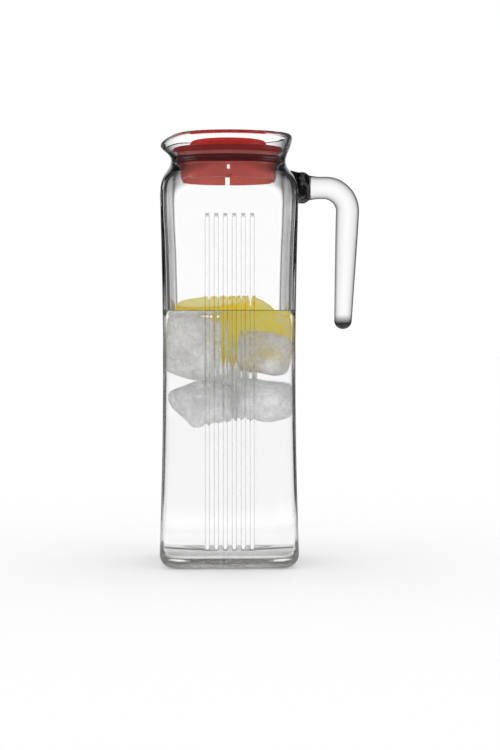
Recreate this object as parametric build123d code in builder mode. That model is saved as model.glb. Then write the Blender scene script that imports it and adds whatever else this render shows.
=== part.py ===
"""Fridge water jug: a square glass jug with a round neck, an open-ended glass handle and a
push-in red lid.

Millimetres, +Z up. The origin is the middle of the base, on the axis of the mouth. The handle
is towards +X, the pouring lip towards -X, and the ribbed front face looks towards -Y.
"""

import os
from math import cos, exp, radians, sin

from build123d import *

# Overall height, and the levels that follow from it
total_height = 280.0
shoulder_drop = 40.0
neck_rise = 22.7
shoulder_height = total_height - shoulder_drop
neck_height = shoulder_height + neck_rise

# Glass thicknesses and edges
wall = 4.6
neck_wall = 3.2
floor_thickness = 8.5
corner_radius = 13.0
heel_radius = 9.0
floor_fillet = 7.0

# Half widths over the flat faces
base_half_width = 45.4
waist_half_width = 43.5
shoulder_half_width = 45.2
neck_radius = 37.6
bore_radius = neck_radius - neck_wall

# Height, half width, corner radius and wall of each level of the tall sides
side_levels = [
    (0.0, base_half_width, corner_radius, wall),
    (shoulder_height * 0.25, waist_half_width + 0.8, corner_radius, wall),
    (shoulder_height * 0.5, waist_half_width, corner_radius, wall),
    (shoulder_height * 0.75, waist_half_width + 0.5, corner_radius, wall),
    (shoulder_height, shoulder_half_width, corner_radius, wall),
]

# The same for the shoulder, where the square turns round
shoulder_levels = [
    (shoulder_height, shoulder_half_width, corner_radius, wall),
    (shoulder_height + 7.5, shoulder_half_width - 0.7, corner_radius + 6.5, wall - 0.4),
    (neck_height - 7.5, neck_radius + 3.3, neck_radius - 6.6, neck_wall + 0.3),
    (neck_height, neck_radius, neck_radius - 0.1, neck_wall),
]

# Round mouth: height, outer radius, wall, and how far the pouring lip is drawn out
mouth_radius = 42.0
mouth_levels = [
    (neck_height - 1.0, neck_radius - 0.1, neck_wall, 0.0),
    (neck_height + 0.7, neck_radius, neck_wall, 0.0),
    (total_height - 12.7, neck_radius + 1.1, neck_wall, 0.4),
    (total_height - 8.5, mouth_radius - 1.6, neck_wall, 1.3),
    (total_height - 4.0, mouth_radius - 0.4, neck_wall, 2.2),
    (total_height - 1.4, mouth_radius, neck_wall - 0.1, 2.6),
    (total_height, mouth_radius - 0.5, neck_wall - 1.0, 2.6),
]
lip_half_angle = 26.0
lip_start = 22.0
lip_end = mouth_radius + 6.0
lip_drop = 4.6

# Raised ribs down the front face
rib_count = 6
rib_pitch = 5.7
rib_width = 2.9
rib_relief = 0.7
rib_bottom = 11.0
rib_top = shoulder_height - 13.5

# Handle: a solid glass rod fused to the shoulder, bent down and left open at its end
handle_rise = 5.5
handle_height = shoulder_height + handle_rise
handle_reach = 17.8
handle_bend_radius = 15.2
handle_radius = 7.6
handle_drop = 71.6
handle_lean = 2.9
handle_end_radius = 5.8
bead_radius = 10.2
bead_length = 6.3
bead_rounding = 3.6
handle_bend_x = shoulder_half_width + handle_reach
bead_end_x = shoulder_half_width + bead_length

# Lid cap: a flange over the bore and a raised disc
running_gap = 0.3
cap_drop = 12.0
cap_seat = total_height - cap_drop
flange_radius = bore_radius + 1.0
flange_thickness = 4.0
knob_radius = 25.0
knob_height = 5.0
cap_skin = 2.2
edge_round = 1.2
flange_top = cap_seat + flange_thickness
knob_top = flange_top + knob_height

# Plug under the cap, with a groove for the seal and a slot front and rear
plug_depth = 17.3
plug_radius = bore_radius - 2.9
plug_wall = 1.8
plug_taper = 0.5
collar_radius = plug_radius + 1.5
collar_thickness = 1.8
plug_top_thickness = 2.0
slot_width = 2.9
slot_height = 6.5
plug_bottom = cap_seat - plug_depth

# Seal ring with two fins that reach for the bore
seal_drop = 2.8
seal_height = 5.2
fin_thickness = 1.5
fin_setback = 0.3
fin_rounding = 0.5
seal_top = cap_seat - seal_drop
seal_bottom = seal_top - seal_height
seal_core_radius = plug_radius + 1.7
fin_radius = bore_radius - running_gap
groove_bottom = seal_bottom - running_gap
groove_top = seal_top + running_gap
collar_bottom = groove_bottom - collar_thickness

# Reach of cutting tools, well past the glass
beyond = base_half_width + 20.0
upright = (Align.CENTER, Align.CENTER, Align.MIN)


def side_form(levels, wall_share, lowest=0.0, grow=0.0):
    """Rounded squares lofted through the levels: the outside at wall share 0, the inside at 1."""
    with BuildPart() as form:
        for height, half_width, corner, thickness in levels:
            inset = wall_share * thickness - grow
            with BuildSketch(Plane.XY.offset(max(height, lowest))):
                width = 2 * (half_width - inset)
                RectangleRounded(width, width, corner - inset)
        loft()
    return form.part


def mouth_form(wall_share):
    """The round mouth from the neck to the rim, with the pouring lip drawn out at -X."""
    with BuildPart() as form:
        for height, radius, thickness, reach in mouth_levels:
            points = []
            for step in range(40):
                angle = 9.0 * step
                from_lip = (angle - 180.0) / lip_half_angle
                ray = radius - wall_share * thickness + reach * exp(-from_lip * from_lip)
                points.append((ray * cos(radians(angle)), ray * sin(radians(angle))))
            with BuildSketch(Plane.XY.offset(height)):
                with BuildLine():
                    Spline(*points, periodic=True)
                make_face()
        loft()
    return form.part


# Outside and inside of the glass
with BuildPart() as outside:
    add(side_form(side_levels, 0))
    fillet(outside.faces().sort_by(Axis.Z)[0].edges(), heel_radius)
    add(side_form(shoulder_levels, 0))
    add(mouth_form(0))
with BuildPart() as inside:
    add(side_form(side_levels, 1, lowest=floor_thickness))
    fillet(inside.faces().sort_by(Axis.Z)[0].edges(), floor_fillet)
    add(side_form(shoulder_levels, 1))
    add(mouth_form(1))

# Pressed glass body with ribs on its front
with BuildPart() as glass_body:
    add(outside.part)
    with BuildPart(mode=Mode.PRIVATE) as ribs:
        with BuildSketch(Plane.XZ):
            with GridLocations(rib_pitch, 1, rib_count, 1):
                with Locations((0, (rib_bottom + rib_top) / 2)):
                    SlotOverall(rib_top - rib_bottom, rib_width, rotation=90)
        extrude(amount=beyond)
        add(side_form(side_levels, 0, grow=rib_relief), mode=Mode.INTERSECT)
    add(ribs.part)
    add(inside.part, mode=Mode.SUBTRACT)
    with BuildSketch(Plane.XZ):
        with BuildLine():
            Line((beyond, total_height), (-lip_start, total_height))
            lip_arc = TangentArc(
                (-lip_start, total_height),
                (-lip_end, total_height - lip_drop),
                tangent=(-1, 0),
            )
            Polyline(
                lip_arc @ 1,
                (-lip_end, total_height + lip_drop),
                (beyond, total_height + lip_drop),
                (beyond, total_height),
            )
        make_face()
    extrude(amount=beyond, both=True, mode=Mode.SUBTRACT)
glass_body.part.label = "glass_body"

# Solid glass handle, trimmed to sit on the outside of the body
with BuildPart() as glass_handle:
    start = Location((bore_radius, 0, handle_height), (0, 90, 0))
    with Locations(start):
        Cylinder(handle_radius, handle_bend_x - bore_radius, align=upright)
    bend_z = handle_height - handle_bend_radius
    with BuildSketch(Plane.YZ.offset(handle_bend_x)):
        with Locations((0, handle_height)):
            Circle(handle_radius)
    revolve(axis=Axis((handle_bend_x, 0, bend_z), (0, 1, 0)), revolution_arc=90)
    grip_top = Vector(handle_bend_x + handle_bend_radius, 0, bend_z)
    grip_end = grip_top + Vector(-handle_lean, 0, -handle_drop)
    with BuildSketch(Plane(grip_top, z_dir=grip_end - grip_top)):
        Circle(handle_radius)
    with BuildSketch(Plane(grip_end, z_dir=grip_end - grip_top)):
        Circle(handle_end_radius)
    loft()
    with Locations(grip_top):
        Sphere(handle_radius)
    with Locations(grip_end):
        Sphere(handle_end_radius)
    with BuildPart(mode=Mode.PRIVATE) as bead:
        with Locations(start):
            Cylinder(bead_radius, bead_end_x - bore_radius, align=upright)
        fillet(bead.edges().sort_by(Axis.X)[-1], bead_rounding)
    add(bead.part)
    add(outside.part, mode=Mode.SUBTRACT)
glass_handle.part.label = "glass_handle"

# Red cap: a flange resting over the mouth and a raised disc, hollow below
with BuildPart() as lid_cap:
    with Locations((0, 0, cap_seat)):
        Cylinder(flange_radius, flange_thickness, align=upright)
    with Locations((0, 0, flange_top)):
        Cylinder(knob_radius, knob_height, align=upright)
    fillet(lid_cap.edges().filter_by(GeomType.CIRCLE).group_by(Axis.Z)[-1], 2 * edge_round)
    outer_edges = lid_cap.edges().filter_by(GeomType.CIRCLE)
    fillet(outer_edges.filter_by(lambda edge: edge.radius > flange_radius - 0.1), edge_round)
    with Locations((0, 0, cap_seat)):
        Cylinder(
            knob_radius - cap_skin,
            knob_top - cap_skin - cap_seat,
            align=upright,
            mode=Mode.SUBTRACT,
        )
lid_cap.part.label = "lid_cap"

# Plug: a thin skirt with two collars around the seal, closed at the top and open below
with BuildPart() as lid_plug:
    skirt_inside = plug_radius - plug_wall
    with BuildSketch(Plane.XZ):
        with BuildLine():
            Polyline(
                (0, cap_seat),
                (collar_radius, cap_seat),
                (collar_radius, groove_top),
                (plug_radius, groove_top),
                (plug_radius, groove_bottom),
                (collar_radius, groove_bottom),
                (collar_radius, collar_bottom),
                (plug_radius, collar_bottom),
                (plug_radius - plug_taper, plug_bottom),
                (skirt_inside - plug_taper, plug_bottom),
                (skirt_inside, cap_seat - plug_top_thickness),
                (0, cap_seat - plug_top_thickness),
                (0, cap_seat),
            )
        make_face()
    revolve(axis=Axis.Z)
    with Locations((0, 0, plug_bottom)):
        Box(slot_width, 2 * beyond, slot_height, align=upright, mode=Mode.SUBTRACT)
lid_plug.part.label = "lid_plug"

# Seal ring in the groove, with two fins towards the neck of the glass
with BuildPart() as seal_ring:
    with Locations((0, 0, seal_bottom)):
        Cylinder(seal_core_radius, seal_height, align=upright)
    top_fin = seal_top - fin_setback - fin_thickness
    with Locations((0, 0, seal_bottom + fin_setback), (0, 0, top_fin)):
        Cylinder(fin_radius, fin_thickness, align=upright)
    fin_edges = seal_ring.edges().filter_by(GeomType.CIRCLE)
    fillet(fin_edges.filter_by(lambda edge: edge.radius > fin_radius - 0.1), fin_rounding)
    with Locations((0, 0, seal_bottom)):
        Cylinder(plug_radius + running_gap, seal_height, align=upright, mode=Mode.SUBTRACT)
seal_ring.part.label = "seal_ring"

export_step(glass_body.part, "parts/glass_body.step")
export_step(glass_handle.part, "parts/glass_handle.step")
export_step(lid_cap.part, "parts/lid_cap.step")
export_step(lid_plug.part, "parts/lid_plug.step")
export_step(seal_ring.part, "parts/seal_ring.step")
print("outside", outside.part.volume, len(outside.part.solids()), "inside", inside.part.volume)
for piece in (glass_body, glass_handle, lid_cap, lid_plug, seal_ring):
    print(piece.part.label, len(piece.part.solids()), piece.part.is_valid, piece.part.bounding_box())
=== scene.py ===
# %% [markdown]
# # A fridge water jug, made in Blender
# The jug is clear pressed glass with a red push-in lid, standing in front of a white backdrop.
# This lesson dresses the solid parts of the frame: the glass and its handle are rebuilt as one
# smooth skin, the lid keeps its solids, and the water, ice and lemon inside are added as dressing.

import bpy
import numpy as np
from mathutils import Matrix, Vector


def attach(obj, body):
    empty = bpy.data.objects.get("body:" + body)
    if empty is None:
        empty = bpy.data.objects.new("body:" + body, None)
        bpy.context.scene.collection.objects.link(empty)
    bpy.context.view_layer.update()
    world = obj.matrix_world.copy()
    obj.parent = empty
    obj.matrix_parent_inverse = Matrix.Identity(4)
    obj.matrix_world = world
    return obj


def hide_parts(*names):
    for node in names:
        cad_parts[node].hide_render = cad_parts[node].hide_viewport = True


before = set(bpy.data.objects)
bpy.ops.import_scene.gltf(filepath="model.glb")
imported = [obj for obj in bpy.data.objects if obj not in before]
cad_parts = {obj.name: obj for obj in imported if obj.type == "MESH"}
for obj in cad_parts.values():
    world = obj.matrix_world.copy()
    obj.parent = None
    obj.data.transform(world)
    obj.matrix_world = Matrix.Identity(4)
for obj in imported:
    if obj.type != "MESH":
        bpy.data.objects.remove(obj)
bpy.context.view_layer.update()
MM = 0.001
print("frame holds", sorted(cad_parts))

# %% [markdown]
# ## Helpers for surfaces
# Every new piece is a grid of points: rows run along a profile or a path, and columns run round
# the piece. One function turns such a grid into a closed mesh. Faces could also be drawn by hand
# or with operators, but a formula keeps the sizes readable and easy to change. Shapes are worked
# out in millimetres, and painted shades, which read Object coordinates, in metres.

# %% Grid to mesh
def skin(name, grid):
    """Closed mesh from a grid (rows, columns, 3). Columns join up all the way round, each pair of
    rows is joined by quads, and a pole closes each end row at the mean of its points."""
    rows, columns, _ = grid.shape
    index = np.arange(rows * columns).reshape(rows, columns)
    right = np.roll(index, -1, axis=1)
    quads = np.stack([index[:-1], right[:-1], right[1:], index[1:]], axis=-1).reshape(-1, 4)
    points = np.vstack([grid.reshape(-1, 3), grid[0].mean(axis=0), grid[-1].mean(axis=0)])
    first_pole = np.full(columns, len(points) - 2)
    last_pole = np.full(columns, len(points) - 1)
    first_fan = np.stack([first_pole, right[0], index[0]], axis=-1)
    last_fan = np.stack([last_pole, index[-1], right[-1]], axis=-1)
    faces = quads.tolist() + first_fan.tolist() + last_fan.tolist()
    mesh = bpy.data.meshes.new(name)
    mesh.from_pydata(points, [], faces)
    mesh.polygons.foreach_set("use_smooth", np.ones(len(faces), dtype=bool))
    mesh.update()
    piece = bpy.data.objects.new(name, mesh)
    bpy.context.scene.collection.objects.link(piece)
    print(name, "has", len(faces), "faces")
    return piece


def smooth_steps(table, at):
    """Cubic Hermite curve through a table's rows. Its slope at each row is the mean of the two
    neighbouring slopes weighted by their spans, and the curve is read at the positions given."""
    table = np.asarray(table, dtype=float)
    x, y = table[:, 0], table[:, 1:]
    span = np.diff(x)[:, None]
    slope = np.diff(y, axis=0) / span
    inner = (slope[:-1] * span[1:] + slope[1:] * span[:-1]) / (span[1:] + span[:-1])
    tangent = np.vstack([slope[:1], inner, slope[-1:]])
    cell = np.clip(np.searchsorted(x, at, side="right") - 1, 0, len(x) - 2)
    t = ((at - x[cell]) / (x[cell + 1] - x[cell]))[:, None]
    h = (x[cell + 1] - x[cell])[:, None]
    low = (2 * t**3 - 3 * t**2 + 1) * y[cell] + (t**3 - 2 * t**2 + t) * h * tangent[cell]
    high = (3 * t**2 - 2 * t**3) * y[cell + 1] + (t**3 - t**2) * h * tangent[cell + 1]
    return low + high


def ease(low, high, at):
    """0 below low, 1 above high, and 3t^2 - 2t^3 between."""
    t = np.clip((at - low) / (high - low), 0, 1)
    return t * t * (3 - 2 * t)


# %% [markdown]
# ## Helpers for materials
# A material is a small network of nodes. Writing it as Python arithmetic keeps the recipe short:
# one class stands for a node's output and adds a Math node whenever it meets an operator.

# %% Signals and recipes
class Signal:
    """A node's output that can be used in sums with numbers and other signals."""

    def __init__(self, recipe, socket):
        self.recipe = recipe
        self.socket = socket

    def math(self, operation, *others, flipped=False):
        terms = [self, *others]
        if flipped:
            terms.reverse()
        return self.recipe.node("ShaderNodeMath", {"operation": operation}, dict(enumerate(terms)))

    def __add__(self, other):
        return self.math("ADD", other)

    def __sub__(self, other):
        return self.math("SUBTRACT", other)

    def __rsub__(self, other):
        return self.math("SUBTRACT", other, flipped=True)

    def __mul__(self, other):
        return self.math("MULTIPLY", other)

    def __truediv__(self, other):
        return self.math("DIVIDE", other)

    def __pow__(self, other):
        return self.math("POWER", other)

    __radd__ = __add__
    __rmul__ = __mul__


class Recipe:
    """A material, or the world, whose nodes are all added by one method."""

    def __init__(self, holder):
        holder.use_nodes = True
        self.holder = holder
        self.tree = holder.node_tree
        self.tree.nodes.clear()

    def node(self, kind, settings=None, values=None, output=0):
        """Adds a node. Settings are set first, and a ramp's stops are pairs of a position and a
        grey. Then sockets get links or values, where a tuple is a colour and gets an alpha of 1."""
        made = self.tree.nodes.new(kind)
        for key, value in (settings or {}).items():
            if key == "stops":
                stops = made.color_ramp.elements
                while len(stops) < len(value):
                    stops.new(0.5)
                for stop, (place, grey) in zip(stops, value):
                    stop.position = place
                    stop.color = (grey, grey, grey, 1)
            else:
                setattr(made, key, value)
        for key, value in (values or {}).items():
            if isinstance(value, Signal):
                self.tree.links.new(value.socket, made.inputs[key])
            elif isinstance(value, tuple):
                made.inputs[key].default_value = (*value, 1)
            else:
                made.inputs[key].default_value = value
        return Signal(self, made.outputs[output])

    def object_place(self):
        return self.node("ShaderNodeTexCoord", output="Object")

    def noise(self, scale, detail=2.0, roughness=0.5):
        values = {"Scale": scale, "Detail": detail, "Roughness": roughness}
        values["Vector"] = self.object_place()
        return self.node("ShaderNodeTexNoise", None, values, "Fac")

    def ramp(self, stops, signal):
        return self.node("ShaderNodeValToRGB", {"stops": stops}, {0: signal})

    def bump(self, height, strength, distance):
        values = {"Height": height, "Strength": strength, "Distance": distance}
        return self.node("ShaderNodeBump", None, values, "Normal")

    def mix(self, mask, low, high):
        """Colour between low, where the mask is 0, and high, where it is 1."""
        values = {0: mask, 6: low, 7: high}
        return self.node("ShaderNodeMix", {"data_type": "RGBA"}, values, output=2)

    def blend(self, mask, low, high):
        """Shader between low, where the mask is 0, and high, where it is 1."""
        return self.node("ShaderNodeMixShader", None, {0: mask, 1: low, 2: high})

    def finish(self, surface, target="ShaderNodeOutputMaterial"):
        out = self.tree.nodes.new(target)
        self.tree.links.new(surface.socket, out.inputs["Surface"])
        print(self.holder.name, "has", len(self.tree.nodes), "nodes")
        return self.holder


def material(name):
    return Recipe(bpy.data.materials.new(name))


def paint(piece, finish):
    piece.data.materials.clear()
    piece.data.materials.append(finish)


def parts(vector):
    """The x, y and z of a vector as three signals."""
    split = vector.recipe.node("ShaderNodeSeparateXYZ", None, {0: vector})
    return [Signal(vector.recipe, output) for output in split.socket.node.outputs]


def fade(signal, low, high):
    """0 at low and 1 at high, on a straight line between, and held outside."""
    return ((signal - low) / (high - low)).math("MAXIMUM", 0.0).math("MINIMUM", 1.0)


# %% [markdown]
# ## Clear materials
# Glass and water only bend light. Both are a Principled shader with full transmission, and their
# index of refraction tells them apart. Clear pieces would cast black shadows without caustics, so
# shadow rays pass straight through them, which keeps the lemon and ice inside well lit.

# %% Clear shader
GLASS_IOR = 1.5
WATER_IOR = 1.333
CLEAR = (1.0, 1.0, 1.0)


def clear_material(recipe, ior, painted_shade, normal=None):
    """Principled transmission for every ray but shadow rays, which see Transparent."""
    # Base Color carries the painted shade, clear where nothing is painted
    values = {"Base Color": painted_shade, "Roughness": 0.0, "IOR": ior, "Transmission Weight": 1.0}
    if normal:
        values["Normal"] = normal
    body = recipe.node("ShaderNodeBsdfPrincipled", None, values)
    passing = recipe.node("ShaderNodeBsdfTransparent", None, {"Color": CLEAR})
    shadow = recipe.node("ShaderNodeLightPath", output="Is Shadow Ray")
    return recipe.finish(recipe.blend(shadow, body, passing))


# %% [markdown]
# Light that meets glass nearly edge-on is bent far away from the backdrop, so the rim of every
# glass shape looks dark. That shade is painted into Base Color: Layer Weight gives how far a
# surface is turned from the eye, and a ramp makes a painted shade from it: clear where the glass
# faces the eye, and nearly black at its outline.

# %% Painted shade of the edges
EDGE_SHADE_STOPS = [(0.28, 1.0), (0.46, 0.72), (0.62, 0.25), (0.80, 0.04)]

clear = material("clear glass")
x, y, z = parts(clear.object_place())
turned = clear.node("ShaderNodeLayerWeight", None, {"Blend": 0.5}, "Facing")
# painted shade: the glass's outline darkened in its Base Color
painted_edge_shade = clear.ramp(EDGE_SHADE_STOPS, turned)

# %% [markdown]
# The handle is a solid rod, so its painted edge shade starts nearer to its middle. Its round tip
# and its thick root bend light the most, and both are painted black, the root with bright swirls
# left in it.

# %% Painted shade of the handle
ROD_SHADE_STOPS = [(0.0, 0.93), (0.18, 0.74), (0.38, 0.40), (0.56, 0.09), (0.75, 0.01)]
SHADE_BLACK = (0.003, 0.003, 0.003)
ROD_BEGINS = (0.048, 0.053)
TIP_BEGINS = (0.1625, 0.1570)
TIP_LEAST_X = 0.055
ROOT_BEGINS, ROOT_ENDS = (0.0395, 0.0410), (0.0518, 0.0508)
ROOT_UNDERSIDE, ROOT_UPSIDE = (0.2320, 0.2345), (0.2575, 0.2550)
ROOT_HALF_DEPTH = 0.0125
SWIRL_SCALE = 150.0
SWIRL_EDGE = (0.62, 0.52)

# painted shade: the rod darkens sooner towards its outline
rod_shade = clear.mix(fade(x, *ROD_BEGINS), painted_edge_shade, clear.ramp(ROD_SHADE_STOPS, turned))
tip = fade(z, *TIP_BEGINS) * x.math("GREATER_THAN", TIP_LEAST_X)
# painted shade: the tip painted black
rod_shade = clear.mix(tip, rod_shade, SHADE_BLACK)
at_root = fade(x, *ROOT_BEGINS) * fade(x, *ROOT_ENDS)
at_root = at_root * y.math("ABSOLUTE").math("LESS_THAN", ROOT_HALF_DEPTH)
at_root = at_root * fade(z, *ROOT_UNDERSIDE) * fade(z, *ROOT_UPSIDE)
swirl = fade(clear.noise(SWIRL_SCALE, 2.0, 0.6), *SWIRL_EDGE)
# painted shade: the root painted black with bright swirls left in it
rod_shade = clear.mix(at_root * swirl, rod_shade, SHADE_BLACK)

# %% [markdown]
# The flanks of the ribs are steeper than the mesh can show, so the dark line that such a flank
# would show is painted: a fine grey line of painted shade follows each flank. Its place comes
# from the cosine of x, which repeats at the pitch of the ribs. A short dark arc of painted shade
# closes each rib at the top.

# %% Painted shade of the ribs
RIB_PITCH = 5.7
RIBS_HALF_WIDTH = 0.0176
FRONT_FACE = -0.0405
FLANK_COSINE = -0.14
FLANK_EDGE = (0.28, 0.08)
FLANK_BEGINS, FLANK_ENDS = (0.0125, 0.0140), 0.2250
ARC_COSINE = (0.0, -0.4)
ARC_BEGINS, ARC_ENDS = (0.2238, 0.2256), 0.2268
FLANK_SHADE, ARC_SHADE = 0.7, 0.75

rib_wave = (x * (2 * np.pi / (RIB_PITCH * MM))).math("COSINE")
on_front = y.math("LESS_THAN", FRONT_FACE) * x.math("ABSOLUTE").math("LESS_THAN", RIBS_HALF_WIDTH)
flank = fade((rib_wave - FLANK_COSINE).math("ABSOLUTE"), *FLANK_EDGE)
flank = flank * fade(z, *FLANK_BEGINS) * z.math("LESS_THAN", FLANK_ENDS)
arc = fade(rib_wave, *ARC_COSINE) * fade(z, *ARC_BEGINS) * z.math("LESS_THAN", ARC_ENDS)
# painted shade: grey lines along the rib flanks and dark arcs at their tops
rib_shade = clear.mix((flank * FLANK_SHADE + arc * ARC_SHADE) * on_front, rod_shade, SHADE_BLACK)

# %% [markdown]
# The sole is stippled, which a fine bump gives, and the round heel above it gathers light, so the
# painted edge shade is lifted there by painted light. Where water wets the inside of the wall,
# light goes on nearly straight, and the painted shade stops. The wet skin is found as a rounded
# square a little larger than the inside.

# %% Base and wetted glass
HEEL_FROM_ABOVE, HEEL_FROM_BELOW = (0.0095, 0.0085), (0.0006, 0.0016)
HEEL_FROM_SIDE = (0.040, 0.034)
HEEL_BRIGHT = 0.75
STIPPLE_SCALE = 800.0
STIPPLE_TOP = 0.0035
STIPPLE_DEPTH = 0.0014
WATER_TOP = 0.165
FLOOR_TOP = 0.0076
WET_UNDER_FLOOR = 0.0015
INSIDE_FLAT = 0.0295
INSIDE_REACH = 0.0112

# painted light: the heel lifts the painted edge shade towards clear
bright_heel = fade(z, *HEEL_FROM_ABOVE) * fade(z, *HEEL_FROM_BELOW)
bright_heel = bright_heel * fade(x.math("ABSOLUTE"), *HEEL_FROM_SIDE)
foot_shade = clear.mix(bright_heel * HEEL_BRIGHT, rib_shade, CLEAR)
stipple = clear.noise(STIPPLE_SCALE, 2.0, 0.6) * z.math("LESS_THAN", STIPPLE_TOP)
past_x = (x.math("ABSOLUTE") - INSIDE_FLAT).math("MAXIMUM", 0.0)
past_y = (y.math("ABSOLUTE") - INSIDE_FLAT).math("MAXIMUM", 0.0)
inside = ((past_x * past_x + past_y * past_y) ** 0.5).math("LESS_THAN", INSIDE_REACH)
wet = inside * z.math("LESS_THAN", WATER_TOP) * z.math("GREATER_THAN", FLOOR_TOP - WET_UNDER_FLOOR)
# the painted shade stops where water wets the wall
glass_shade = clear.mix(wet, foot_shade, CLEAR)
glass = clear_material(clear, GLASS_IOR, glass_shade, clear.bump(stipple, 1.0, STIPPLE_DEPTH))

# %% [markdown]
# Water creeps up the wall a little, and on this narrow edge a dark line of painted shade is drawn
# round its top.

# %% Water finish
LEVEL_LINE_FROM = WATER_TOP + 0.0001
LEVEL_LINE_SHADE = (0.12, 0.12, 0.13)

liquid = material("water")
level_line = parts(liquid.object_place())[2].math("GREATER_THAN", LEVEL_LINE_FROM)
# painted shade: a dark line in the water's colour at its top edge
water_finish = clear_material(liquid, WATER_IOR, liquid.mix(level_line, CLEAR, LEVEL_LINE_SHADE))

# %% [markdown]
# ## The glass body
# The body is square with soft corners and turns round at the neck. Each level is a rounded
# square, given by its half width and corner radius. A ray at each angle meets it on a flat side or
# on a corner arc, so one formula serves every level, from the square base to the round mouth.

# %% Sizes of the glass
FLOOR = FLOOR_TOP / MM
HEEL = 9.0
CORNER = 13.0
SHOULDER = 232.0

# height, half width, corner radius
SIDE = [
    (HEEL, 44.8, CORNER),
    (40.0, 43.8, CORNER),
    (80.0, 42.9, CORNER),
    (120.0, 42.5, CORNER),
    (165.0, 42.8, CORNER),
    (205.0, 43.5, CORNER),
    (SHOULDER, 44.1, 13.2),
    (240.0, 44.2, 14.0),
    (247.5, 43.6, 19.0),
    (251.5, 42.4, 25.0),
    (255.4, 40.4, 32.0),
    (259.4, 38.3, 36.6),
    (262.7, 37.6, 37.6),
    (267.3, 38.7, 38.7),
    (271.5, 40.4, 40.4),
    (274.8, 41.5, 41.5),
    (276.9, 42.0, 42.0),
]
BASE_HALF = SIDE[0][1]
MOUTH, MOUTH_RADIUS = SIDE[-1][:2]

# height, wall thickness
WALLS = [
    (8.0, 4.8),
    (40.0, 4.6),
    (200.0, 4.6),
    (240.0, 4.0),
    (244.0, 4.1),
    (248.0, 4.4),
    (251.5, 4.75),
    (255.0, 4.85),
    (258.0, 4.2),
    (262.7, 3.2),
    (279.0, 3.1),
]
LIP_REACH = 2.6
LIP_HALF_ANGLE = np.radians(30)
LIP_DROP = 5.2
LIP_HEIGHTS = (264, 280)
RIM_ROUND = 1.55
RIM_RISE = 3.0

# %% Angles, closer together over the corners and over the ribs
# from, to (degrees), columns
SPACING = [(0, 34, 12), (34, 56, 20), (56, 67, 6), (67, 90, 36)]
quarter = np.concatenate([np.linspace(*stretch, endpoint=False) for stretch in SPACING])
half_turn = np.concatenate([quarter, 180 - np.append(quarter, 90)[:0:-1]])
ANGLES = np.radians(np.concatenate([half_turn, half_turn + 180]))
print("columns round the glass:", len(ANGLES))


def rounded_square(half, corner):
    """Distance from the axis to a rounded square, for each level (rows) and angle (columns).
    A ray meets the flat side at half / max(|cos|, |sin|). Where that is past the flat, it meets
    the corner arc instead, at the larger root of the circle's quadratic."""
    c, s = np.abs(np.cos(ANGLES))[None, :], np.abs(np.sin(ANGLES))[None, :]
    half, corner = half[:, None], corner[:, None]
    flat = half - corner
    straight = half / np.maximum(c, s)
    along = flat * (c + s)
    arc = along + np.sqrt(np.maximum(along**2 - 2 * flat**2 + corner**2, 0))
    return np.where(np.minimum(c, s) * straight > flat, arc, straight)


def glass_rings(sections):
    """Points of each level: the rounded square, drawn out and down at the pouring lip. The lip is
    exp(-(angle from -X / its half angle)^2), faded in with height above the neck. A section is
    an array each of heights, half widths and corner radii."""
    z, half, corner = (np.concatenate(values) for values in zip(*sections))
    ray = rounded_square(half, corner)
    from_lip = (ANGLES - np.pi) / LIP_HALF_ANGLE
    lip = np.exp(-(from_lip**2))[None, :] * ease(*LIP_HEIGHTS, z)[:, None]
    ray = ray + LIP_REACH * lip
    height = z[:, None] - LIP_DROP * lip
    return np.stack([ray * np.cos(ANGLES), ray * np.sin(ANGLES), height], axis=-1)


# %% Outer surface, from the middle of the base to the rim
NEXT_TO_AXIS = 0.04
BASE_HOLLOW = 1.4
HOLLOW_EDGE = (0.80, 0.95)

# from, to (heights), rows
SIDE_ROWS = [(HEEL, 16, 9), (16, 218, 40), (218, SHOULDER, 18), (SHOULDER, MOUTH, 44)]

turn = np.radians(np.linspace(0, 90, 12))
heel_half = BASE_HALF - HEEL + HEEL * np.sin(turn)
heel_corner = CORNER - (BASE_HALF - heel_half)
base_steps = np.linspace(NEXT_TO_AXIS, 1, 14)[:-1]
base_z = BASE_HOLLOW * (1 - ease(*HOLLOW_EDGE, base_steps))
side_z = np.concatenate([np.linspace(*stretch)[1:] for stretch in SIDE_ROWS])
outer = [
    (base_z, base_steps * heel_half[0], base_steps * heel_corner[0]),
    (HEEL * (1 - np.cos(turn)), heel_half, heel_corner),
    (side_z, *smooth_steps(SIDE, side_z).T),
]
rim_turn = np.radians(np.linspace(0, 180, 13))[1:-1]
rim_half = MOUTH_RADIUS - RIM_ROUND + RIM_ROUND * np.cos(rim_turn)
rim = (MOUTH + RIM_RISE * np.sin(rim_turn), rim_half, rim_half)

# %% [markdown]
# The inside follows the outside at the wall's thickness. Its floor is nearly flat, with a broad
# fillet up into the walls, as glass that was pressed with a plunger has.

# %% Inner surface, from the rim down to the middle of the floor
FLOOR_FILLET = 4.5
FLOOR_DISH = 0.8
LEAST_CORNER = 4.0
LEAST_FOOT_CORNER = 3.0


def inside_wall(z):
    """Half width and corner radius of the inside: those of the outside less the wall."""
    wall = smooth_steps(WALLS, z)[:, 0]
    half, corner = smooth_steps(SIDE, z).T - wall
    return half, np.minimum(np.maximum(corner, LEAST_CORNER), half)


def foot(turn, floor, half, corner):
    """Section along a quarter-circle fillet between a wall (turn 0) and a floor (turn 90)."""
    drawn_in = FLOOR_FILLET * (1 - np.cos(turn))
    height = floor + FLOOR_FILLET * (1 - np.sin(turn))
    return height, half - drawn_in, np.maximum(corner - drawn_in, LEAST_FOOT_CORNER)


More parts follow.
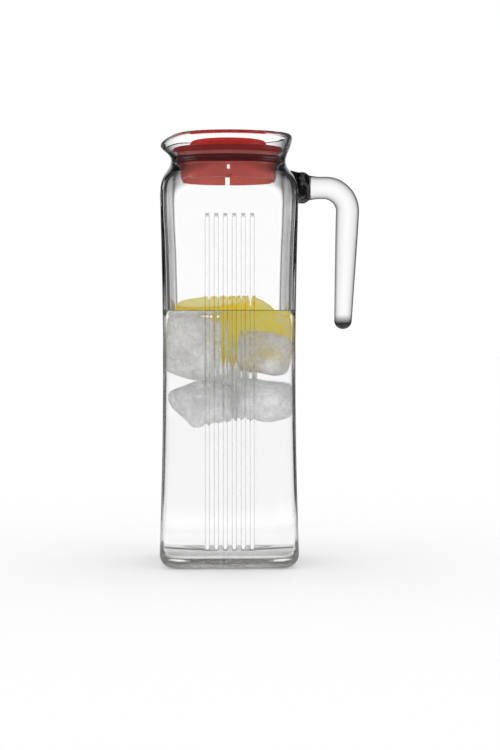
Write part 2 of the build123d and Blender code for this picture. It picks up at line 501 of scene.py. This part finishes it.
inner_z = np.concatenate(
    [np.linspace(MOUTH, SHOULDER, 40)[:-1], np.linspace(SHOULDER, FLOOR + FLOOR_FILLET, 40)]
)
inner_half, inner_corner = inside_wall(inner_z)
down = np.radians(np.linspace(0, 90, 10))[1:]
inner_foot = foot(down, FLOOR, inner_half[-1], inner_corner[-1])
floor_steps = np.linspace(1, NEXT_TO_AXIS, 10)[1:]
floor_z = FLOOR - FLOOR_DISH * (1 - floor_steps**2)
inner = [
    (inner_z, inner_half, inner_corner),
    inner_foot,
    (floor_z, floor_steps * inner_foot[1][-1], floor_steps * inner_foot[2][-1]),
]
glass_grid = glass_rings([*outer, rim, *inner])

# %% [markdown]
# Six ribs stand down the front face. They only need a small push outwards: each point of the
# outer surface near the front moves along -Y by a rounded bump across the rib, faded at its ends.

# %% Ribs
RIB_COUNT = 6
RIB_WIDTH = 3.0
RIB_RELIEF = 0.7
RIB_BOTTOM = 11.0
RIB_RUN_OUT = 9.0
RIB_TOP = 226.5


def rib_push(x, z):
    """Height of the ribs at (x, z): sqrt(1 - d^2), where d is the distance from the nearest rib's
    middle line in half widths. Past the top the distance is taken from the rib's end point, and
    at the bottom the rib sinks slowly into the face."""
    nearest = np.clip(np.round(x / RIB_PITCH - 0.5), -RIB_COUNT / 2, RIB_COUNT / 2 - 1) + 0.5
    across = x - nearest * RIB_PITCH
    reach = RIB_WIDTH / 2
    distance = np.hypot(across, np.maximum(z - (RIB_TOP - reach), 0)) / reach
    rise = ease(RIB_BOTTOM, RIB_BOTTOM + RIB_RUN_OUT, z)
    return RIB_RELIEF * rise * np.sqrt(np.clip(1 - distance**2, 0, 1))


outer_rows = sum(len(heights) for heights, _, _ in outer)
outer_part = glass_grid[:outer_rows]
front = (outer_part[..., 1] < 0) & (outer_part[..., 2] > HEEL)
outer_part[..., 1] -= np.where(front, rib_push(outer_part[..., 0], outer_part[..., 2]), 0)
body = skin("jug_glass", glass_grid * MM)

# %% [markdown]
# ## The handle
# The handle is a glass rod, welded on hot: a thick root, a level arm, a bend and a tapering limb
# with a rounded free end. A tube is carried along a path made of a line, an arc and a line, and its
# radius follows the length along the path.

# %% Handle path
HANDLE_Z = 245.5
ROOT_X = 40.6
BEND_X = 63.0
BEND_RADIUS = 15.2
LEAN = 0.0405
LIMB = 71.0
TIP_RADIUS = 5.8

arm = np.linspace(ROOT_X, BEND_X, 40)
arm_length = BEND_X - ROOT_X
full_sweep = np.pi / 2 + LEAN
sweep = np.linspace(0, full_sweep, 30)[1:]
bend_z = HANDLE_Z - BEND_RADIUS
bend_end_x = BEND_X + BEND_RADIUS * np.cos(LEAN)
bend_end_z = bend_z - BEND_RADIUS * np.sin(LEAN)
limb = np.linspace(0, LIMB, 40)[1:]
limb_x, limb_z = bend_end_x - np.sin(LEAN) * limb, bend_end_z - np.cos(LEAN) * limb
cap_turn = np.radians(np.linspace(0, 88, 12))[1:]
cap_out = TIP_RADIUS * np.sin(cap_turn)
cap_x, cap_z = limb_x[-1] - np.sin(LEAN) * cap_out, limb_z[-1] - np.cos(LEAN) * cap_out

path_x = np.concatenate([arm, BEND_X + BEND_RADIUS * np.sin(sweep), limb_x, cap_x])
bend_path_z = bend_z + BEND_RADIUS * np.cos(sweep)
path_z = np.concatenate([np.full_like(arm, HANDLE_Z), bend_path_z, limb_z, cap_z])
straight_down = np.full(len(limb) + len(cap_out), full_sweep)
heading = np.concatenate([np.zeros_like(arm), sweep, straight_down])

# %% Handle tube
bend_travel = arm_length + BEND_RADIUS * sweep
travel = np.concatenate([arm - ROOT_X, bend_travel, bend_travel[-1] + limb])

# distance along the path, radius
THICKNESS = [
    (0.0, 11.6),
    (3.4, 10.6),
    (6.0, 10.2),
    (8.6, 10.3),
    (10.4, 9.6),
    (12.2, 8.3),
    (15.0, 7.7),
    (30.0, 7.6),
    (50.0, 7.6),
    (80.0, 6.9),
    (travel[-1], TIP_RADIUS),
]
radius = np.append(smooth_steps(THICKNESS, travel)[:, 0], TIP_RADIUS * np.cos(cap_turn))
around = np.radians(np.arange(0, 360, 7.5))[None, :]
across_x, across_z = radius * np.sin(heading), radius * np.cos(heading)
handle_grid = np.stack(
    [
        path_x[:, None] + across_x[:, None] * np.cos(around),
        -radius[:, None] * np.sin(around),
        path_z[:, None] + across_z[:, None] * np.cos(around),
    ],
    axis=-1,
)
rod = skin("jug_handle", handle_grid * MM)

# %% [markdown]
# The two glasses are one piece once they are fused, and no surface is left between them. A
# Boolean union does the same to the meshes, and then only the joined skin is kept.

# %% Fuse the handle to the body
fuse = body.modifiers.new("fuse", "BOOLEAN")
fuse.operation = "UNION"
fuse.solver = "EXACT"
fuse.object = rod
bpy.context.view_layer.update()
joined = bpy.data.meshes.new_from_object(body.evaluated_get(bpy.context.evaluated_depsgraph_get()))
body.modifiers.clear()
body.data = joined
bpy.data.objects.remove(rod)
paint(body, glass)
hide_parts("glass_body", "glass_handle")
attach(body, "jug")
print("fused glass has", len(joined.polygons), "faces")

# %% [markdown]
# ## The red lid
# The lid is moulded plastic that lets a little light through, so it looks bright where light
# crosses thin parts. Part of its Principled shader is transmission, and the rest is plain red.

# %% Lid materials
FLANGE_TOP = 0.2722
SHADE_EDGE = (FLANGE_TOP + 0.0003, FLANGE_TOP - 0.0010)


def plastic(name, colour, roughness, see_through, gloss, shade=None):
    """Red plastic with a fine grain. A shade, where given, is painted shade: a deeper red painted on
    the flange, which lies lower in the mouth of the jug and gets less light than the disc on top
    of it."""
    recipe = material(name)
    if shade:
        height = parts(recipe.object_place())[2]
        # painted shade: deeper red below the top of the flange
        colour = recipe.mix(fade(height, *SHADE_EDGE), colour, shade)
    look = {
        "Base Color": colour,
        "Roughness": roughness,
        "IOR": 1.5,
        "Transmission Weight": see_through,
        "Specular IOR Level": gloss,
        "Normal": recipe.bump(recipe.noise(900.0), 0.05, 0.0002),
    }
    return recipe.finish(recipe.node("ShaderNodeBsdfPrincipled", None, look))


RED = (0.58, 0.018, 0.014)
PAINTED_SHADE_RED = (0.26, 0.010, 0.010)
PALE_RED = (0.72, 0.17, 0.14)
SEAL_RED = (0.11, 0.004, 0.007)
red_plastic = plastic("red plastic", RED, roughness=0.22, see_through=0.08, gloss=0.25, shade=PAINTED_SHADE_RED)
thin_plastic = plastic("thin red plastic", PALE_RED, roughness=0.18, see_through=0.6, gloss=0.25)
red_seal = plastic("dark red seal", SEAL_RED, roughness=0.35, see_through=0.0, gloss=0.2)
paint(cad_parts["lid_cap"], red_plastic)
paint(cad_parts["lid_plug"], thin_plastic)
paint(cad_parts["seal_ring"], red_seal)

# %% [markdown]
# ## Water
# The water fills the inside up to its level. Its skin reaches a little way into the glass wall, so
# that light goes from glass to water with no film of air between, and the top turns up slightly
# where it wets the wall.

# %% Water body
WATER_LEVEL = WATER_TOP / MM
INTO_WALL = 0.6
CREEP_HEIGHT = 0.5
CREEP_WIDTH = 0.02
CREEP_STEPS = [0.02, 0.04, 0.07, 0.12, 0.3, 0.6, 0.9]

water_z = np.linspace(FLOOR + FLOOR_FILLET, WATER_LEVEL + CREEP_HEIGHT, 40)
water_half, water_corner = (size + INTO_WALL for size in inside_wall(water_z))
up = np.radians(np.linspace(90, 0, 10))[:-1]
bed = FLOOR - INTO_WALL
water_foot = foot(up, bed, water_half[0], water_corner[0])
bed_steps = np.linspace(NEXT_TO_AXIS, 1, 10)[:-1]
bed_z = bed - FLOOR_DISH * (1 - bed_steps**2)
top_steps = 1 - np.array(CREEP_STEPS)
top_z = WATER_LEVEL + CREEP_HEIGHT * np.exp(-(1 - top_steps) / CREEP_WIDTH)
water_grid = glass_rings(
    [
        (bed_z, bed_steps * water_foot[1][0], bed_steps * water_foot[2][0]),
        water_foot,
        (water_z, water_half, water_corner),
        (top_z, water_half[-1] * top_steps, water_corner[-1] * top_steps),
    ]
)
water = skin("water", water_grid * MM)
paint(water, water_finish)
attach(water, "jug")

# %% [markdown]
# ## Ice
# A few lumps of ice float below the surface. Each is a rounded box with a dented skin: a
# superellipsoid, whose cosines and sines are raised to a small power, with a few slow waves added.
# Ice in water bends light very little, so its index is low, and what shows is its cloudy core.

# %% Ice material
CLEAR_ICE = (0.90, 0.91, 0.92)
ICE_IOR = 1.14
CRYSTAL_GREY, CRYSTAL_WHITE = (0.80, 0.80, 0.80), (1.0, 1.0, 1.0)
CRYSTAL_EDGE = (0.36, 0.62)
GLOW = (0.98, 0.98, 0.98)
GLOW_SHARE = 0.45
CLOUD_STOPS = [(0.34, 0.22), (0.58, 0.85)]

frost = material("cloudy ice")
dents = frost.bump(frost.noise(170.0, 4.0, 0.65), 0.9, 0.003)
ice_look = {"Base Color": CLEAR_ICE, "Roughness": 0.12, "IOR": ICE_IOR, "Transmission Weight": 1.0}
clear_ice = frost.node("ShaderNodeBsdfPrincipled", None, {**ice_look, "Normal": dents})
crystals = fade(frost.noise(260.0, 4.0, 0.65), *CRYSTAL_EDGE)
core_colour = frost.mix(crystals, CRYSTAL_GREY, CRYSTAL_WHITE)
core_look = {"Base Color": core_colour, "Roughness": 0.4, "Normal": dents}
core = frost.node("ShaderNodeBsdfPrincipled", None, core_look)
glow = frost.node("ShaderNodeBsdfTranslucent", None, {"Color": GLOW})
cloud = frost.ramp(CLOUD_STOPS, frost.noise(70.0, 3.0, 0.6))
ice_finish = frost.finish(frost.blend(cloud, clear_ice, frost.blend(GLOW_SHARE, core, glow)))

# %% Ice lumps
# middle (x, y, z), half sizes (x, y, z), turns about X, Y and Z in degrees
ICE = [
    ((-21.0, -14.0, 142.0), (16.5, 16.0, 19.0), (10, 8, 8)),
    ((20.5, -14.0, 138.0), (16.0, 15.0, 12.5), (-8, 12, -8)),
    ((-15.0, -12.0, 105.5), (16.5, 15.5, 13.0), (12, -14, 16)),
    ((20.0, -10.0, 107.0), (16.0, 16.0, 13.0), (-8, 8, 10)),
    ((2.0, 19.0, 124.0), (15.0, 13.0, 16.0), (15, 8, -20)),
]
BOXINESS = 0.42
WAVE_HEIGHT = 0.045
PHASE_STEP = 1.7


def turned_to_place(points, turns, middle):
    """Points turned about X, then Y, then Z, and moved from the origin to their middle."""
    about_x, about_y, about_z = (
        Matrix.Rotation(np.radians(degrees), 3, axis) for degrees, axis in zip(turns, "XYZ")
    )
    return points @ np.array(about_z @ about_y @ about_x).T + np.array(middle)


def ice_lump(name, middle, half_sizes, turns, phase):
    """Superellipsoid sign(c)|c|^BOXINESS in latitude and longitude, with two slow waves of
    WAVE_HEIGHT each along the skin, turned and moved to its place."""
    latitude = np.radians(np.linspace(-86, 86, 40))[:, None]
    longitude = np.radians(np.arange(0, 360, 6))[None, :]

    def power(value):
        return np.sign(value) * np.abs(value) ** BOXINESS

    ball = np.stack(
        [
            power(np.cos(latitude)) * power(np.cos(longitude)),
            power(np.cos(latitude)) * power(np.sin(longitude)),
            power(np.sin(latitude)) * np.ones_like(longitude),
        ],
        axis=-1,
    )
    wave = np.sin(3.1 * ball[..., 0] + phase) * np.sin(2.7 * ball[..., 1] + 2 * phase)
    wave = wave + np.sin(3.7 * ball[..., 2] + 3 * phase + ball[..., 0] * 2)
    points = ball * (1 + WAVE_HEIGHT * wave[..., None]) * np.array(half_sizes)
    return skin(name, turned_to_place(points, turns, middle) * MM)


for number, (middle, half_sizes, turns) in enumerate(ICE, start=1):
    lump = ice_lump(f"ice_{number}", middle, half_sizes, turns, PHASE_STEP * number)
    paint(lump, ice_finish)
    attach(lump, "jug")

# %% [markdown]
# ## Lemon slices
# Each slice is a thin disc: yellow rind outside, a band of pale pith, and juicy wedges between thin
# walls. The disc is turned from a profile, and its own UV map holds the place on the slice's face,
# so that the wedges follow the slice however it is tilted. Curved glass gathers light on what is
# inside it, which a short render leaves out, so a little emission gives that light back.

# %% Lemon material
WEDGES = 10
WALL_STOPS = [(0.03, 1.0), (0.09, 0.0)]
PITH_STOPS = [(0.80, 0.0), (0.84, 1.0)]
RIND_STOPS = [(0.90, 0.0), (0.94, 1.0)]
PITH = (0.92, 0.88, 0.45)
RIND = (0.92, 0.70, 0.03)
DEEP_FLESH, PALE_FLESH = (0.95, 0.82, 0.14), (1.0, 0.94, 0.28)
SHINING_THROUGH = (0.95, 0.84, 0.22)
THROUGH_SHARE = 0.22

lemon = material("lemon slice")
face_x, face_y, _ = parts(lemon.node("ShaderNodeUVMap", {"uv_map": "slice"}))
face_x, face_y = face_x - 0.5, face_y - 0.5
out_from_middle = (face_x * face_x + face_y * face_y) ** 0.5 * 2.0
bearing = face_y.math("ARCTAN2", face_x)
wedge_wall = (bearing * (WEDGES / 2)).math("SINE").math("ABSOLUTE") * out_from_middle
juice = lemon.noise(260.0, 3.0, 0.6)
face = lemon.mix(juice, DEEP_FLESH, PALE_FLESH)
face = lemon.mix(lemon.ramp(WALL_STOPS, wedge_wall), face, PITH)
face = lemon.mix(lemon.ramp(PITH_STOPS, out_from_middle), face, PITH)
face = lemon.mix(lemon.ramp(RIND_STOPS, out_from_middle), face, RIND)
lemon_look = {
    "Base Color": face,
    "Emission Color": face,
    "Emission Strength": 0.12,
    "Roughness": 0.3,
    "Subsurface Weight": 0.25,
    "Subsurface Scale": 0.004,
    "Normal": lemon.bump(juice, 0.35, 0.001),
}
lemon_body = lemon.node("ShaderNodeBsdfPrincipled", None, lemon_look)
lemon_through = lemon.node("ShaderNodeBsdfTranslucent", None, {"Color": SHINING_THROUGH})
lemon_finish = lemon.finish(lemon.blend(THROUGH_SHARE, lemon_body, lemon_through))

# %% Lemon slices
# middle (x, y, z), radius, thickness, turns about X, Y and Z in degrees
SLICES = [
    ((-11.8, 9.0, 168.4), 26.0, 5.5, (8, -4, 0)),
    ((12.3, 8.0, 151.5), 25.0, 5.5, (70, 0, 12)),
]
WOBBLE = 0.015


def lemon_slice(name, middle, radius, thickness, turns):
    """A disc turned from a profile: flat faces joined by a round edge, with the edge's radius
    varying by WOBBLE as cos(3 angle). The UV map is (x, y) on the disc over its diameter + 0.5."""
    bend = np.radians(np.linspace(-90, 90, 12))
    edge = radius - thickness / 2 * (1 - np.cos(bend))
    flat_reach = np.linspace(0.05, 0.97, 14) * edge[0]
    flat_level = np.full_like(flat_reach, thickness / 2)
    reach = np.concatenate([flat_reach, edge, flat_reach[::-1]])
    level = np.concatenate([-flat_level, thickness / 2 * np.sin(bend), flat_level])
    angle = np.radians(np.arange(0, 360, 4))
    wobble = 1 + WOBBLE * np.cos(3 * angle + radius)
    disc = np.stack(
        [
            reach[:, None] * (wobble * np.cos(angle))[None, :],
            reach[:, None] * (wobble * np.sin(angle))[None, :],
            level[:, None] * np.ones_like(angle)[None, :],
        ],
        axis=-1,
    )
    piece = skin(name, turned_to_place(disc, turns, middle) * MM)
    flat = np.vstack([disc.reshape(-1, 3), disc[0].mean(axis=0), disc[-1].mean(axis=0)])
    corners = np.empty(len(piece.data.loops), dtype=int)
    piece.data.loops.foreach_get("vertex_index", corners)
    uv = piece.data.uv_layers.new(name="slice")
    uv.data.foreach_set("uv", (flat[corners, :2] / (2 * radius) + 0.5).ravel())
    return piece


for number, (middle, radius, thickness, turns) in enumerate(SLICES, start=1):
    piece = lemon_slice(f"lemon_slice_{number}", middle, radius, thickness, turns)
    paint(piece, lemon_finish)
    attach(piece, "jug")

# %% [markdown]
# ## Light, floor and backdrop
# Glass has no colour of its own: it shows what stands around it. The camera sees a white
# backdrop, and so does light that was only bent, a little brighter to make up for what the glass
# reflects away. Light that was reflected, on the glass or inside it, mostly sees the dimmer room,
# with a bright window at each side and the backdrop straight behind. This is what draws the dark
# bands where the glass turns a corner. One sky does all of it by Light Path.

# %% World
ROOM = (0.05, 0.05, 0.055)
WHITE = (1.0, 1.0, 1.0)
THROUGH_GLASS = (1.12, 1.12, 1.12)
WINDOW_EDGE = (0.93, 0.98)
BACKDROP_EDGE = (0.86, 0.95)


def has_been(recipe, event):
    """1 for light whose path holds a Glossy, Transmission or Diffuse event, and 0 for the rest."""
    return recipe.node("ShaderNodeLightPath", output=f"{event} Depth").math("GREATER_THAN", 0.5)


world = bpy.data.worlds.new("studio")
bpy.context.scene.world = world
air = Recipe(world)
sideways, backwards, _ = parts(air.node("ShaderNodeTexCoord", output="Generated"))
window = fade(sideways.math("ABSOLUTE"), *WINDOW_EDGE) + fade(backwards, *BACKDROP_EDGE)
seen_reflected = air.mix(window.math("MINIMUM", 1.0), ROOM, WHITE)
seen_directly = air.mix(has_been(air, "Transmission"), WHITE, THROUGH_GLASS)
seen_by_eye = air.mix(has_been(air, "Glossy"), seen_directly, seen_reflected)
shown = air.mix(has_been(air, "Diffuse"), seen_by_eye, WHITE)
background = air.node("ShaderNodeBackground", None, {"Color": shown, "Strength": 1.0})
air.finish(background, "ShaderNodeOutputWorld")

# %% [markdown]
# The floor is matte white and carries the jug's soft shadow. Seen through glass it is part of the
# backdrop, and to reflected light it is part of the dim room, except close round the jug.

# %% Floor
FLOOR_HALF = 6.0
FLOOR_Z = -0.0002
DIM = (0.12, 0.12, 0.12)
ROOM_IN_FRONT = (-0.10, -0.16)
ROOM_AROUND = (0.20, 0.30)
BACKDROP_SHARE = 0.8

signs = [(-1, -1), (1, -1), (1, 1), (-1, 1)]
floor_corners = [(FLOOR_HALF * sign_x, FLOOR_HALF * sign_y, FLOOR_Z) for sign_x, sign_y in signs]
floor_mesh = bpy.data.meshes.new("floor")
floor_mesh.from_pydata(floor_corners, [], [(0, 1, 2, 3)])
floor = bpy.data.objects.new("floor", floor_mesh)
bpy.context.scene.collection.objects.link(floor)

ground = material("white floor")
ground_x, ground_y, _ = parts(ground.object_place())
from_jug = ground_x.math("ABSOLUTE").math("MAXIMUM", ground_y.math("ABSOLUTE"))
in_room = fade(ground_y, *ROOM_IN_FRONT).math("MAXIMUM", fade(from_jug, *ROOM_AROUND))
unscattered = 1.0 - has_been(ground, "Diffuse")
as_backdrop = has_been(ground, "Transmission") * unscattered * BACKDROP_SHARE
as_room = has_been(ground, "Glossy") * unscattered * in_room
matte = ground.node("ShaderNodeBsdfDiffuse", None, {"Color": WHITE})
dim = ground.node("ShaderNodeBsdfDiffuse", None, {"Color": DIM})
backdrop = ground.node("ShaderNodeEmission", None, {"Color": THROUGH_GLASS, "Strength": 1.0})
ground_shader = ground.blend(as_room, ground.blend(as_backdrop, matte, backdrop), dim)
paint(floor, ground.finish(ground_shader))

# %% [markdown]
# A long lens from a little above the middle of the jug shows its mouth and base as flat ovals.
# Light crosses many glass surfaces on its way, so it needs more bounces than usual.

# %% Camera
LENS = 95.1
EYE = Vector((-0.026, -1.3, 0.165))
AIM = Vector((0.0142, 0.0, 0.1228))
GLASS_BOUNCES = 24

camera = bpy.data.objects.new("camera", bpy.data.cameras.new("camera"))
bpy.context.scene.collection.objects.link(camera)
camera.data.lens = LENS
camera.location = EYE
camera.rotation_mode = "QUATERNION"
camera.rotation_quaternion = (AIM - EYE).to_track_quat("-Z", "Y")
bpy.context.scene.camera = camera
bpy.context.scene.view_settings.view_transform = "Standard"
cycles = bpy.context.scene.cycles
cycles.max_bounces = GLASS_BOUNCES
cycles.transmission_bounces = GLASS_BOUNCES
cycles.transparent_max_bounces = GLASS_BOUNCES
cycles.glossy_bounces = GLASS_BOUNCES // 2
